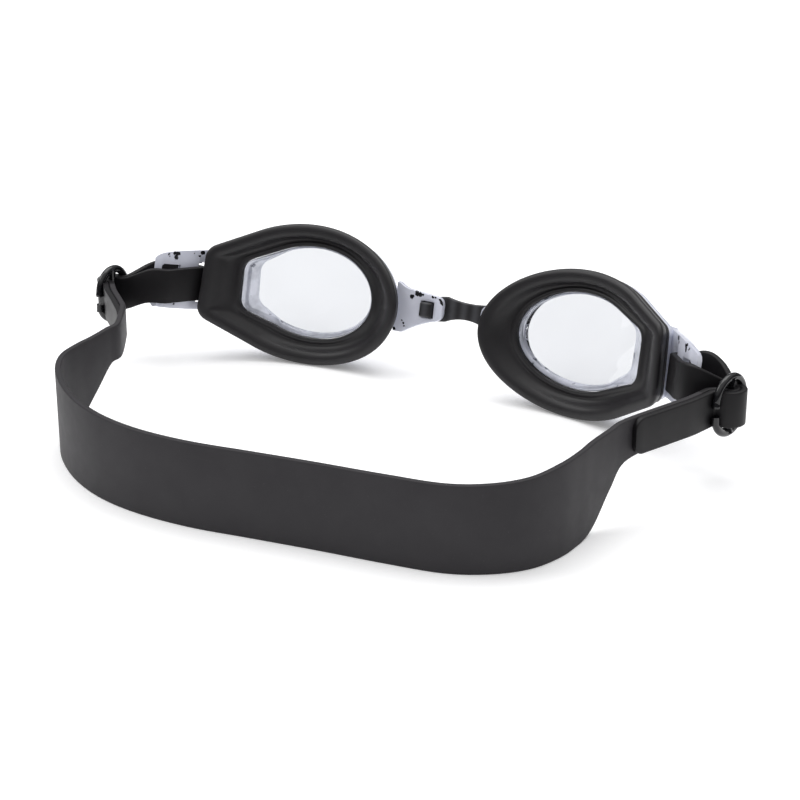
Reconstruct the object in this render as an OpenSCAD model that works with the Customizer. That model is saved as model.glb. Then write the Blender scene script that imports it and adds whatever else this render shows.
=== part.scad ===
// Children's swim goggles: two leaned eyecups, a pegged nose bridge and a one-piece head strap
// that passes through two slide buckles. +X is the wearer's right, +Y the way the wearer looks,
// and z = 0 is the surface on which the rims and the lower edge of the strap stand.
// Within an eyecup, u runs outwards from the nose, h forwards and v upwards.

/* [Eyecups] */
// Distance between the centres of the two eyecups
cup_spacing = 73.4; // [70:0.2:78]
// Angle by which each eyecup wraps round the face
wrap_angle = 10.5; // [8:0.5:13]
// Angle by which the eyecups lean forwards at the top
lean_angle = 14; // [12:0.5:16]
// Half the length of the gasket's oval
rim_a = 24.9; // [24:0.1:26]
// Half the height of the gasket's oval
rim_b = 17.5; // [16.5:0.1:18]
// How far the rim curves back, 22 mm from the middle of the cup
rim_bow = 5.3; // [4:0.1:6]
// Thickness of the gasket from rim to seat
gasket_depth = 5.2; // [4.5:0.1:6]
// Height of the lens front above the rim, at the middle of the cup
lens_front = 9.6; // [8.5:0.1:11]

/* [Outriggers and nose] */
// Distance of the outrigger's tip from the middle of the cup
wing_tip = 37.8; // [37:0.1:38.4]
// Thickness of outriggers and nose arms
arm_t = 1.6; // [1.4:0.1:2]
// Width of the square pegs of the nose bridge
peg_w = 3.2; // [2.8:0.1:3.4]
// Height of the square pegs
peg_h = 3.6; // [3.2:0.1:4]
// Thickness of the nose bridge
bridge_t = 1.6; // [1.2:0.1:2]

/* [Strap] */
// Height of the wide band at the back of the head
band_h = 19.2; // [18:0.1:20.5]
// Height of the narrow ends that run through the buckles
strap_h = 8.2; // [7.8:0.1:8.6]
// Thickness of the silicone
strap_t = 1.4; // [1.2:0.05:1.4]
// Middle height of the strap in the buckles
strap_z = 16.4; // [16:0.1:17]

/* [Buckles] */
// Height of the slide buckle
buckle_h = 14.6; // [14:0.1:15]
// Distance of the buckle's two rails from its middle bar
rail_s = 4.9; // [4.9:0.05:5.6]
// Radius of the rails and of the middle bar
bar_r = 0.75; // [0.7:0.05:0.75]

/* [Hidden] */

// The middle of the whole object, moved to the origin
origin_shift = [0.5, 37.3, 0.46];
half_gap = cup_spacing / 2;
gap = 0.15;
// Both bows are given at this distance from the middle of the cup. The housing's seat is a little
// flatter than the rim, so that it stays clear of the gasket as far as the temple
bow_at = 22;
front_bow = 4.2;
rear_r = 50;

// Height of the surface under the goggles, below the eyecups' own zero
floor_z = -0.46;

// Middle bar of each buckle, and the way each buckle points forwards
right_bar = [80.1, -12.5];
right_heading = 76;
left_bar = [81.1, -16.9];
left_heading = 93;
// Two layers of the strap weave inside the rails and outside the middle bar. The line between
// them bends round each bar at weave_r, and crosses from rail to bar at weave_turn
play = 0.12;
layer_step = strap_t + 0.1;
near_r = bar_r + play + strap_t / 2;
weave_r = near_r + layer_step / 2;
weave_turn = asin(2 * weave_r / rail_s);
// Length over which a layer runs straight once it has left the middle bar
straight_run = 3;

// Gasket rim: an oval with two round corners at the temple, each [u, v], of radius rim_corner
rim_oval = [rim_a, rim_b, 0, 0];
rim_top = [21.9, 6.1];
rim_low = [22.6, -6.0];
rim_corner = 4;
// Opening in the gasket
eye_oval = [16.4, 11.6, -0.6, 0.5];
eye_top = [14.2, 3.8];
eye_low = [14.2, -3.4];
eye_corner = 3.5;
// Each corner turns this far either way, the oval starts at oval_from, and a corner moves
// corner_drift in v for each 1 in u when its outline is drawn in
corner_turn = 64;
oval_from = 56;
corner_drift = 0.62;
oval_steps = 40;
corner_steps = 5;

// Middle line of the outrigger, [u, h]: it sweeps back at wing_turn and flattens towards its tip
wing_line = [[23, 3.2], [24.5, 1.7], [32, -5.75], [35, -8.4], [36.2, -9], [wing_tip, -9.4]];
wing_turn = 45;
// The strap bends round wrap_at, on that line. The slots are measured from there along the
// outrigger: the strap's slot and an empty one, with their heights
wrap_at = [29.6, -3.35];
slot = [-3.6, -0.6];
slot_v = [-5.8, 4.1];
slot2 = [4.2, 8.9];
slot2_v = [-5.2, 3.4];
strap_v = -0.9;

// Nose arms stand in one plane that leans with the eyecups
nose_plane = 5.4;
nose_z = 18.6;
peg_left = -5.8;
peg_right = 10.9;
arm_left = -1.6;
arm_right = 8.8;

// ---------- shared geometry ----------

// Moves a point of an eyecup, [u, h, v], to its place on the right side
function on_cup(u, h, v) =
    let (x = half_gap + u * cos(wrap_angle) + h * sin(wrap_angle),
         y = -u * sin(wrap_angle) + h * cos(wrap_angle),
         z = v + rim_b)
    [x, y * cos(lean_angle) + z * sin(lean_angle), -y * sin(lean_angle) + z * cos(lean_angle)];

function bow(u) = -rim_bow * pow(u / bow_at, 2);
function front(u) = lens_front - front_bow * pow(u / bow_at, 2);

// A closed outline of [u, v] points, an oval with two temple corners, moved inwards by inset
function outline(oval, top, low, corner, inset) =
    let (r = max(corner - inset, 0.8), e = inset - (corner - r), n = oval_steps, m = corner_steps)
    concat(
        [for (i = [0:n]) let (t = oval_from + (360 - 2 * oval_from) * i / n)
            [oval[2] + (oval[0] - inset) * cos(t), oval[3] + (oval[1] - inset) * sin(t)]],
        [for (i = [0:m]) let (t = -corner_turn * (1 - i / m))
            [low[0] - e + r * cos(t), low[1] + corner_drift * e + r * sin(t)]],
        [for (i = [0:m]) let (t = corner_turn * i / m)
            [top[0] - e + r * cos(t), top[1] - corner_drift * e + r * sin(t)]]);
function rim(inset) = outline(rim_oval, rim_top, rim_low, rim_corner, inset);
function eye(inset) = outline(eye_oval, eye_top, eye_low, eye_corner, inset);

// Rings of points in space: one follows the rim's bow, the other the lens's front
function rear_ring(pts, h) = [for (p = pts) [p[0], h + bow(p[0]), p[1]]];
function front_ring(pts, h) = [for (p = pts) [p[0], h + front(p[0]), p[1]]];
function shrink(pts, k) = [for (p = pts) [p[0] * k, p[1] * k]];

// Joins rings in a closed cycle, which makes a hoop
module hoop(rings) {
    n = len(rings[0]);
    m = len(rings);
    polyhedron(
        points = [for (r = rings) each r],
        faces = [for (j = [0:m - 1], i = [0:n - 1])
            let (a = j * n, b = ((j + 1) % m) * n, k = (i + 1) % n)
            each [[a + i, b + i, b + k], [a + i, b + k, a + k]]],
        convexity = 6);
}

// Joins rings from the first to the last, and closes both ends
module loft(rings) {
    n = len(rings[0]);
    m = len(rings);
    polyhedron(
        points = [for (r = rings) each r],
        faces = concat(
            [[for (i = [0:n - 1]) i]],
            [for (j = [0:m - 2], i = [0:n - 1])
                let (a = j * n, b = (j + 1) * n, k = (i + 1) % n)
                each [[a + i, b + i, b + k], [a + i, b + k, a + k]]],
            [[for (i = [0:n - 1]) m * n - 1 - i]]),
        convexity = 6);
}

module on_side(side) {
    translate(origin_shift) mirror([side < 0 ? 1 : 0, 0, 0]) children();
}

module place_cup() {
    translate([half_gap, 0, 0]) rotate([-lean_angle, 0, 0]) translate([0, 0, rim_b])
        rotate([0, 0, -wrap_angle]) children();
}

// Extrudes an outline of [x, z] points from y = from to y = to
module slab(from, to) {
    translate([0, to, 0]) rotate([90, 0, 0]) linear_extrude(to - from) children();
}

// ---------- eyecups ----------

// Soft seal: outer wall, rounded crest, dished face and inner lip
module gasket() {
    color([0.16, 0.16, 0.18])
    place_cup() hoop([
        rear_ring(rim(1.0), gasket_depth),
        rear_ring(rim(0.7), 3.4),
        rear_ring(rim(0), 1.3),
        rear_ring(rim(0.3), 0.4),
        rear_ring(rim(1.3), 0),
        rear_ring(rim(2.6), 0.5),
        rear_ring(eye(-1.2), 1.9),
        rear_ring(eye(0), 2.1),
        rear_ring(eye(0), gasket_depth)]);
}

// Clear cup: a flange behind the gasket, a side wall and the front window
module lens() {
    seat = gasket_depth + gap;
    color([0.85, 0.88, 0.95, 0.4])
    place_cup() loft([
        [for (p = shrink(eye(-1.2), 0.3)) [p[0], lens_front, p[1]]],
        front_ring(shrink(eye(-1.2), 0.6), 0),
        front_ring(eye(0.2), 0),
        front_ring(eye(-1.0), -0.7),
        rear_ring(eye(-1.4), seat + 1.3),
        rear_ring(eye(-2.4), seat + 1.3),
        rear_ring(eye(-2.4), seat),
        rear_ring(eye(0), seat),
        front_ring(eye(0.7), -1.7),
        front_ring(shrink(eye(1.0), 0.6), -1.5),
        [for (p = shrink(eye(1.0), 0.3)) [p[0], lens_front - 1.5, p[1]]]]);
}

// Everything behind a surface that curves back like the rim, or like the lens's front, at height h
module behind(h, r) {
    translate([0, h - r, -30]) cylinder(r = r, h = 60, $fn = 180);
}

// Printed housing round the clear cup: a flange on the gasket and a barrel, with a seat inside
module housing() {
    seat = gasket_depth + gap;
    front_r = pow(bow_at, 2) / (2 * front_bow);
    place_cup() difference() {
        union() {
            intersection() {
                slab(-9, 12) polygon(rim(1.5));
                behind(seat + 2.6, rear_r);
            }
            intersection() {
                slab(-4, 12) polygon(eye(-3.3));
                behind(lens_front - 1, front_r);
            }
        }
        behind(seat, rear_r);
        slab(-5, 13) polygon(eye(-1.7));
        intersection() {
            slab(-6, 13) polygon(eye(-2.7));
            behind(seat + 1.5, rear_r);
        }
    }
}

// Side view of the outrigger: a strip in u and h that leaves the housing and sweeps back
module wing_strip() {
    near = beside(wing_line, arm_t / 2);
    far = beside(wing_line, -arm_t / 2);
    polygon(concat(near, [for (i = [len(far) - 1:-1:0]) far[i]]));
}

// Back view of the outrigger: it is highest at the housing
module wing_outline() {
    polygon([
        [21, 8.7], [24, 7.8], [28, 7.45], [32, 6.95], [34, 6.6], [36, 6], [37, 5.45],
        [wing_tip, 4.5], [wing_tip, -7], [37, -7.9], [30, -7.6], [26, -7.4], [21, -8]]);
}

// A hole square through the outrigger, from and to measured along it from the strap's bend
module wing_slot(from, to, v) {
    translate([wrap_at[0], wrap_at[1], v[0]]) rotate([0, 0, -wing_turn])
        translate([from, -3, 0]) cube([to - from, 6, v[1] - v[0]]);
}

// Outrigger with the strap's slot and a second, empty slot
module outrigger() {
    place_cup() difference() {
        intersection() {
            translate([0, 0, -10]) linear_extrude(20) wing_strip();
            slab(-12, 6) wing_outline();
        }
        wing_slot(slot[0], slot[1], slot_v);
        wing_slot(slot2[0], slot2[1], slot2_v);
    }
}

// Top and bottom of a nose arm at d from its tip, which is rounded
arm_round = 1.8;
function arm_top(d) = 3.4 + 0.1 * d + 0.12 * pow(max(d - 9.5, 0), 2);
function arm_low(d) = -min(2.3 + 0.15 * d + 0.025 * pow(d, 2), 6.6);
function tip_inset(d) = d < arm_round ? arm_round - sqrt(pow(arm_round, 2) - pow(arm_round - d, 2)) : 0;

// Nose arm from inside the housing to its tip, in the leaning nose plane
module nose_arm(tip, peg) {
    steps = concat([for (d = [0:0.3:arm_round]) d], [for (d = [arm_round + 1:1.2:14.9 - tip]) d]);
    rotate([-lean_angle, 0, 0]) difference() {
        slab(nose_plane - arm_t / 2, nose_plane + arm_t / 2) translate([0, nose_z]) polygon(concat(
            [for (d = steps) [tip + d, arm_top(d) - tip_inset(d)]],
            [for (i = [len(steps) - 1:-1:0])
                [tip + steps[i], arm_low(steps[i]) + tip_inset(steps[i])]]));
        arm_hole(peg);
    }
}

module arm_hole(peg) {
    translate([peg - peg_w / 2 - 0.2, nose_plane - 3, nose_z - peg_h / 2 - 0.2])
        cube([peg_w + 0.4, 6, peg_h + 0.4]);
}

module eye_frame(tip, peg) {
    color([0.82, 0.84, 0.9]) {
        housing();
        outrigger();
        nose_arm(tip, peg);
    }
}

// ---------- nose bridge ----------

// Half the height of the bridge at x, and the rise of its middle line between the pegs
function bridge_half(x) = min(2.05 + 0.03 * pow(x - 4.2, 2), 3.1);
function bridge_rise(x) = max(0.9 - 0.011 * pow(x - 3.4, 2), 0);

// Soft strip in front of the nose arms, with a peg back through each arm's square hole
module bridge() {
    face = nose_plane + arm_t / 2 + gap;
    color([0.2, 0.2, 0.22]) rotate([-lean_angle, 0, 0]) {
        slab(face, face + bridge_t) translate([0, nose_z]) polygon(concat(
            [for (x = [-8.6:0.6:13]) [x, bridge_rise(x) + bridge_half(x)]],
            [for (x = [13:-0.6:-8.6]) [x, bridge_rise(x) - bridge_half(x)]]));
        for (x = [peg_left, peg_right])
            translate([x - peg_w / 2, face - arm_t - 1.3, nose_z - peg_h / 2])
                cube([peg_w, arm_t + 1.5, peg_h]);
    }
}

// ---------- strap ----------

// Unit steps to the right and to the left of a heading, seen from above
function right_of(t) = [sin(t), -cos(t)];
function left_of(t) = [-sin(t), cos(t)];
function ahead(t) = [cos(t), sin(t)];

// A line of [x, y] points moved by d to its right
function beside(path, d) = [for (i = [0:len(path) - 1])
    let (a = path[max(i - 1, 0)], b = path[min(i + 1, len(path) - 1)], v = b - a)
    path[i] + d * [v[1], -v[0]] / norm(v)];

// One station of the strap: [x, y, middle height, height, lean]
function station(p, z, h, lean) = [p[0], p[1], z, h, lean];
function cup_station(u, h, v) =
    let (p = on_cup(u, h, v)) [p[0], p[1], p[2], strap_h, 1];
// The same, at s along the outrigger from the strap's bend and d forwards of its middle line
function wing_station(s, d, v) =
    let (c = cos(wing_turn), t = sin(wing_turn))
    cup_station(wrap_at[0] + s * c + d * t, wrap_at[1] - s * t + d * c, v);

// Smooth curve through points or stations, from the second to the last but one
function curve(c, steps) = [for (j = [1:len(c) - 3], i = [0:steps - 1])
    let (t = i / steps, a = c[j - 1], b = c[j], d = c[j + 1], e = c[j + 2])
    0.5 * (2 * b + (d - a) * t + (2 * a - 5 * b + 4 * d - e) * t * t
        + (3 * b - a - 3 * d + e) * t * t * t)];

// Line between the two layers: along the approach, round the rear rail and up to the middle bar
function approach_line(bar, heading, points, arrive) =
    let (rail = bar - rail_s * ahead(heading), cross = heading - weave_turn,
         turn = [for (i = [0:6]) rail + weave_r * left_of(arrive + (cross - arrive) * i / 6)])
    concat(curve(concat(points, [turn[0], turn[1]]), 4), turn);

// The line's turn round the middle bar, from the rail's side to heading leave
function bar_turn(bar, heading, leave) =
    let (cross = heading - weave_turn)
    [for (i = [0:10]) bar + weave_r * right_of(cross + (leave - cross) * i / 10)];

// From the taper to the rounded free end: through the buckle, round the outrigger and back. dip
// is the strap's height v beside the outrigger's tip
function strap_end(bar, heading, points, arrive, dip, loop) =
    let (start = cup_station(38, -11.6, dip),
         reach = [start[0] - bar[0], start[1] - bar[1]],
         outer_leave = heading + weave_turn,
         inner_leave = max(atan2(reach[1], reach[0]) + asin(near_r / norm(reach)), outer_leave),
         wrap_r = arm_t / 2 + 0.35 + strap_t / 2,
         fall = (dip - strap_v) / 4,
         rear = approach_line(bar, heading, points, arrive),
         inner = beside(concat(rear, bar_turn(bar, heading, inner_leave)), -layer_step / 2),
         outer = beside(concat(rear, bar_turn(bar, heading, outer_leave)), layer_step / 2),
         last = len(inner) - 1,
         free = outer[0] - outer[1])
    concat(
        [for (i = [5:last - 1]) flat_station(inner[i])],
        curve([flat_station(inner[last - 1]), flat_station(inner[last]),
               flat_station(inner[last] + straight_run * ahead(inner_leave)), start,
               wing_station(7.8, -wrap_r, strap_v + 3 * fall)], 4),
        [start],
        [for (i = [3:-1:1]) wing_station(2.6 * i, -wrap_r, strap_v + i * fall)],
        [for (i = [0:8]) let (t = 180 * i / 8)
            wing_station(-wrap_r * sin(t), -wrap_r * cos(t), strap_v)],
        curve(concat(
            [wing_station(-1, wrap_r, strap_v), wing_station(1.4, wrap_r, strap_v)],
            loop,
            [flat_station(outer[last] + straight_run * ahead(outer_leave)),
             flat_station(outer[last]), flat_station(outer[last - 1])]), 4),
        [for (i = [last:-1:0]) flat_station(outer[i])],
        [for (i = [1:5]) let (t = 18 * i)
            station(outer[0] + free / norm(free) * tip_r * sin(t), strap_z,
                strap_h - 2 * tip_r * (1 - cos(t)), 0)]);
function flat_station(p) = station(p, strap_z, strap_h, 0);
tip_r = 2.5;

right_points = [[68, -41.4], [69.4, -37], [71.5, -31.8], [73.4, -27], [75.1, -22.6]];
right_loop = [
    cup_station(34.2, -3.7, 0.7), [72.6, -5.2, 20.2, strap_h, 0.8], [75.8, -6, 18.8, strap_h, 0.4]];
left_points = [[60.2, -39.8], [64.6, -35.2], [67.6, -32.2], [71.8, -28.2], [76.1, -24.2]];
left_loop = [
    cup_station(34.2, -3.7, -0.3), [72.8, -5.4, 19.4, strap_h, 0.8], [76.4, -7.4, 18.2, strap_h, 0.4]];
right_end = strap_end(right_bar, right_heading, right_points, 80, -1.5, right_loop);
left_end = strap_end(left_bar, left_heading, left_points, 38, -2.4, left_loop);

// Band round the back of the head, from the left end's start to the right end's. The lower edge
// rises where the wide band narrows to the ends
function band(x, y, rise) =
    let (h = band_h + rise) [x, y, floor_z + h / 2, h, 0];
band_curve = concat(
    [mirrored(left_end[1]), mirrored(left_end[0]),
     [-60.6, -42.5, 16.2, 8.6, 0], [-60.3, -47, 15.9, 9, 0], [-60.3, -52.5, 13.5, 13.2, 0],
     [-60.4, -58.5, 11, 18, 0]],
    [for (p = [[-59.4, -65, 1.2], [-55.6, -71.6, 1], [-49.6, -77.8, 0.7], [-41.6, -83.6, 0.4],
               [-32, -88, 0.2], [-21, -90.3, 0], [-8, -90.6, 0], [6, -88.9, 0], [20, -87.2, 0],
               [36, -85.6, 0], [48, -83.8, 0], [56.2, -79.8, 0.2], [62, -74, 0.6],
               [65, -66.5, 1.2], [65.8, -59, 1.2]]) band(p[0], p[1], p[2])],
    [[66, -53, 10.6, 19, 0], [66.6, -46.5, 13.5, 13.4, 0], [67.5, -41.2, 15.9, 9.4, 0],
     right_end[0], right_end[1]]);

function mirrored(s) = [-s[0], s[1], s[2], s[3], s[4]];

// The four corners of the strap at each station, which stays on the floor or above it
function section(path, i) =
    let (a = path[max(i - 1, 0)], b = path[min(i + 1, len(path) - 1)], p = path[i],
         d = [b[0] - a[0], b[1] - a[1]], n = [d[1], -d[0]] / norm(d) * strap_t / 2,
         k = [0, p[4] * tan(lean_angle) * p[3] / 2], mid = [p[0], p[1]],
         low = max(p[2] - p[3] / 2, floor_z), top = p[2] + p[3] / 2)
    [concat(mid - n - k, low), concat(mid - n + k, top),
     concat(mid + n + k, top), concat(mid + n - k, low)];

module strap() {
    n_left = len(left_end);
    path = concat(
        [for (i = [n_left - 1:-1:1]) mirrored(left_end[i])],
        curve(band_curve, 4),
        [for (i = [0:len(right_end) - 1]) right_end[i]]);
    color([0.22, 0.22, 0.24]) translate(origin_shift)
        loft([for (i = [0:len(path) - 1]) section(path, i)]);
}

// ---------- buckles ----------

// Outline with round ends, w long and h high
module stadium(w, h, r) {
    square([w, h - 2 * r], center = true);
    square([w - 2 * r, h], center = true);
    for (x = [-1, 1], y = [-1, 1])
        translate([x * (w / 2 - r), y * (h / 2 - r)]) circle(r, $fn = 48);
}

// Two round-ended caps joined by two rails and a middle bar; the rear rail has a gap, through
// which the strap is slipped in
module buckle(bar, heading) {
    plate = 2 * bar_r;
    window = strap_h + 2 * play + 0.4;
    end_r = 5.4;
    gap_z = [-2.7, 0.4];
    color([0.05, 0.05, 0.06]) translate([bar[0], bar[1], strap_z]) rotate([0, 0, heading])
        difference() {
            union() {
                slab(-plate / 2, plate / 2) difference() {
                    stadium(2 * (rail_s + bar_r), buckle_h, end_r);
                    square([buckle_h, window], center = true);
                }
                for (s = [-rail_s, 0, rail_s])
                    translate([s, 0, -window / 2 - 0.4])
                        cylinder(r = bar_r, h = window + 0.8, $fn = 48);
            }
            translate([-rail_s - 2, -2, gap_z[0]]) cube([4, 4, gap_z[1] - gap_z[0]]);
        }
}

// ---------- the ten pieces ----------

module left_gasket() { on_side(-1) gasket(); }
module right_gasket() { on_side(1) gasket(); }
module left_lens() { on_side(-1) lens(); }
module right_lens() { on_side(1) lens(); }
module left_frame() { on_side(-1) eye_frame(-arm_left, -peg_left); }
module right_frame() { on_side(1) eye_frame(arm_right, peg_right); }
module nose_bridge() { on_side(1) bridge(); }
module head_strap() { strap(); }
module left_buckle() { on_side(-1) buckle(left_bar, left_heading); }
module right_buckle() { on_side(1) buckle(right_bar, right_heading); }

left_gasket();
right_gasket();
left_lens();
right_lens();
left_frame();
right_frame();
nose_bridge();
head_strap();
left_buckle();
right_buckle();
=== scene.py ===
import math

import bmesh
import bpy
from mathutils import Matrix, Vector


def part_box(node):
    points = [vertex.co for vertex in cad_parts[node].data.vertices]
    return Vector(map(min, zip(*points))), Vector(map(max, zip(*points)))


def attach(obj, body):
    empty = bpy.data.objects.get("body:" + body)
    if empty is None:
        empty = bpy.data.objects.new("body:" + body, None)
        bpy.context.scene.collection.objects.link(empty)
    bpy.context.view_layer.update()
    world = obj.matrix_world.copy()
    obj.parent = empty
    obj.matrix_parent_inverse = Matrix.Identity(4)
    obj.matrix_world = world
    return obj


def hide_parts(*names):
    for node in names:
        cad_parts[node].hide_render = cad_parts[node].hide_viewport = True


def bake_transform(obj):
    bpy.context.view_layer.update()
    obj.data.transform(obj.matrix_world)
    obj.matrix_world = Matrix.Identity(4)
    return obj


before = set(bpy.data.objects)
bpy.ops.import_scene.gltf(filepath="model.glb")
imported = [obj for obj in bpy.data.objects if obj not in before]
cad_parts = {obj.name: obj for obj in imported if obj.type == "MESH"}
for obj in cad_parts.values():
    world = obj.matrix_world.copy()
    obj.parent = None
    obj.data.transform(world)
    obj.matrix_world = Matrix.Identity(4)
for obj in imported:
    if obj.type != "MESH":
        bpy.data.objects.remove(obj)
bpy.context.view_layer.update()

# Sizes are in millimetres and angles in degrees, as in the CAD source, and become metres in row().
# Within an eyecup, u runs outwards from the nose, h forwards and v upwards. side is 1 for the
# wearer's right and -1 for the left.
MM = 0.001
SIDES = {"left": -1, "right": 1}

# ---------- camera ----------

CAMERA_AT = (214.7, -364.7, 181.4)
CAMERA_TOWARDS = (-1.4, 25.8, 1.6)
CAMERA_LENS = 91.0


def make_camera():
    data = bpy.data.cameras.new("camera")
    data.lens = CAMERA_LENS
    data.sensor_width = 36
    data.clip_start = 0.01
    data.clip_end = 20
    camera = bpy.data.objects.new("camera", data)
    bpy.context.scene.collection.objects.link(camera)
    camera.location = Vector(CAMERA_AT) * MM
    towards = (Vector(CAMERA_TOWARDS) - Vector(CAMERA_AT)) * MM
    camera.rotation_euler = towards.to_track_quat("-Z", "Y").to_euler()
    bpy.context.scene.camera = camera


make_camera()

# ---------- shapes shared with the CAD ----------

HALF_SPACING = 73.4 / 2
WRAP = math.radians(10.5)
LEAN = math.radians(14)
RIM_BOW = 5.3
FRONT_BOW = 4.2
GASKET_DEPTH = 5.2
LENS_FRONT = 9.6
SEAT = GASKET_DEPTH + 0.15
BOW_AT = 22

# Ovals are [half length, half height, u, v]; each has two temple corners, [u, v], and their radius
RIM = dict(oval=(24.9, 17.5, 0, 0), top=(21.9, 6.1), low=(22.6, -6.0), corner=4)
EYE = dict(oval=(16.4, 11.6, -0.6, 0.5), top=(14.2, 3.8), low=(14.2, -3.4), corner=3.5)
WINDOW = dict(oval=(15.9, 10.8, -0.8, 1.0), top=(10.9, 4.0), low=(10.7, -1.9), corner=3.6)
OVAL_FROM = 56
CORNER_TURN = 64
CORNER_DRIFT = 0.62
OVAL_STEPS = 96
CORNER_STEPS = 10


def outline(shape, inset):
    """A closed outline of (u, v) points, moved inwards by inset."""
    a, b, cu, cv = shape["oval"]
    corner = shape["corner"]
    r = max(corner - inset, 0.8)
    e = inset - (corner - r)
    points = []
    for i in range(OVAL_STEPS + 1):
        t = math.radians(OVAL_FROM + (360 - 2 * OVAL_FROM) * i / OVAL_STEPS)
        points.append((cu + (a - inset) * math.cos(t), cv + (b - inset) * math.sin(t)))
    for centre, drift, first in ((shape["low"], CORNER_DRIFT, -1), (shape["top"], -CORNER_DRIFT, 0)):
        for i in range(CORNER_STEPS + 1):
            t = math.radians(CORNER_TURN * (first + i / CORNER_STEPS))
            points.append((centre[0] - e + r * math.cos(t), centre[1] + drift * e + r * math.sin(t)))
    return points


def between(one, other, share):
    return [(a[0] + (b[0] - a[0]) * share, a[1] + (b[1] - a[1]) * share) for a, b in zip(one, other)]


def shrink(points, k):
    return [(p[0] * k, p[1] * k) for p in points]


def rear_ring(points, h):
    return [(u, h - RIM_BOW * (u / BOW_AT) ** 2, v) for u, v in points]


def front_ring(points, h):
    return [(u, LENS_FRONT + h - FRONT_BOW * (u / BOW_AT) ** 2, v) for u, v in points]


def on_cup(u, h, v):
    """A point of the right eyecup, in the CAD source's own place before the origin is moved."""
    x = HALF_SPACING + u * math.cos(WRAP) + h * math.sin(WRAP)
    y = -u * math.sin(WRAP) + h * math.cos(WRAP)
    return leaned(x, y, v + RIM["oval"][1])


def leaned(x, y, z):
    """Tips a point back by the lean that the eyecups, the nose arms and the bridge share."""
    return x, y * math.cos(LEAN) + z * math.sin(LEAN), -y * math.sin(LEAN) + z * math.cos(LEAN)


def origin_shift():
    """The CAD source moves everything by this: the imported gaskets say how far."""
    low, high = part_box("right_gasket")
    middle = (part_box("left_gasket")[0].x + high.x) / 2
    return Vector((middle / MM, low.y / MM - rim_reach(1), low.z / MM - rim_reach(2)))


def rim_reach(axis):
    """Lowest coordinate of the CAD's seal along an axis, before the origin is moved."""
    section = ((1.0, GASKET_DEPTH), (0.7, 3.4), (0, 1.3), (0.3, 0.4), (1.3, 0))
    points = [on_cup(*p) for inset, h in section for p in rear_ring(outline(RIM, inset), h)]
    return min(p[axis] for p in points)


SHIFT = origin_shift()


def row(point, side=1):
    """From the CAD source's place to the row frame, in metres."""
    return Vector((side * point[0] + SHIFT.x, point[1] + SHIFT.y, point[2] + SHIFT.z)) * MM


# ---------- mesh helpers ----------


def skin(rings, hoop=False):
    """Points and faces that join rings of equal length, as a hoop or closed at both ends."""
    n, m = len(rings[0]), len(rings)
    points = [p for ring in rings for p in ring]
    faces = []
    for j in range(m if hoop else m - 1):
        a, b = j * n, (j + 1) % m * n
        faces += [(a + i, b + i, b + (i + 1) % n, a + (i + 1) % n) for i in range(n)]
    if not hoop:
        faces += [tuple(range(n)), tuple(m * n - 1 - i for i in range(n))]
    return points, faces


def raw_object(name, points, faces):
    mesh = bpy.data.meshes.new(name)
    mesh.from_pydata([tuple(p) for p in points], [], faces)
    obj = bpy.data.objects.new(name, mesh)
    bpy.context.scene.collection.objects.link(obj)
    return obj


def tidy_mesh(obj, sharp):
    """Faces point outwards, and edges that turn by more than sharp degrees stay crisp."""
    bm = bmesh.new()
    bm.from_mesh(obj.data)
    bmesh.ops.recalc_face_normals(bm, faces=bm.faces)
    for face in bm.faces:
        face.smooth = True
    for edge in bm.edges:
        edge.smooth = not edge.is_manifold or edge.calc_face_angle(0) < math.radians(sharp)
    bm.to_mesh(obj.data)
    bm.free()


def merged(parts):
    """One (points, faces) from several."""
    points, faces = [], []
    for part_points, part_faces in parts:
        start = len(points)
        points += list(part_points)
        faces += [tuple(start + i for i in face) for face in part_faces]
    return points, faces


def joined(name, parts):
    """One object from several (points, faces)."""
    return raw_object(name, *merged(parts))


def parts_of(obj):
    """(points, faces) of an object, which is then removed."""
    mesh = obj.data
    part = [v.co.copy() for v in mesh.vertices], [tuple(p.vertices) for p in mesh.polygons]
    bpy.data.objects.remove(obj)
    bpy.data.meshes.remove(mesh)
    return part


def arc(middle, r, degrees):
    """Points of an arc round middle, at these angles."""
    return [(middle[0] + r * math.cos(math.radians(a)), middle[1] + r * math.sin(math.radians(a)))
            for a in degrees]


def apply_modifiers(obj):
    mesh = bpy.data.meshes.new_from_object(obj.evaluated_get(bpy.context.evaluated_depsgraph_get()))
    old = obj.data
    obj.modifiers.clear()
    obj.data = mesh
    bpy.data.meshes.remove(old)


# Edges of blanks and cutters that turn by more than this stay crisp
TOOL_CRISP = 30


def carved(name, blank, cutters, keep=(), round_off=0.3, angle=30):
    """(points, faces) of a blank cut by cutters and kept inside keep, with its edges rounded."""
    obj = raw_object(name, *blank)
    tidy_mesh(obj, TOOL_CRISP)
    tools = []
    for kind, group in (("INTERSECT", keep), ("DIFFERENCE", cutters)):
        for tool in group:
            other = raw_object(name + "_tool", *tool)
            tidy_mesh(other, TOOL_CRISP)
            cut = obj.modifiers.new("cut", "BOOLEAN")
            cut.operation = kind
            cut.solver = "EXACT"
            cut.object = other
            tools.append(other)
    bevel = obj.modifiers.new("bevel", "BEVEL")
    bevel.width = round_off * MM
    bevel.segments = 3
    bevel.limit_method = "ANGLE"
    bevel.angle_limit = math.radians(angle)
    apply_modifiers(obj)
    for tool in tools:
        mesh = tool.data
        bpy.data.objects.remove(tool)
        bpy.data.meshes.remove(mesh)
    return parts_of(obj)


def prism(outline_points, place, near, far):
    """A flat outline of (a, b) points drawn out from near to far, where place makes the points."""
    return skin([[place(a, b, c) for a, b in outline_points] for c in (near, far)])


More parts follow.
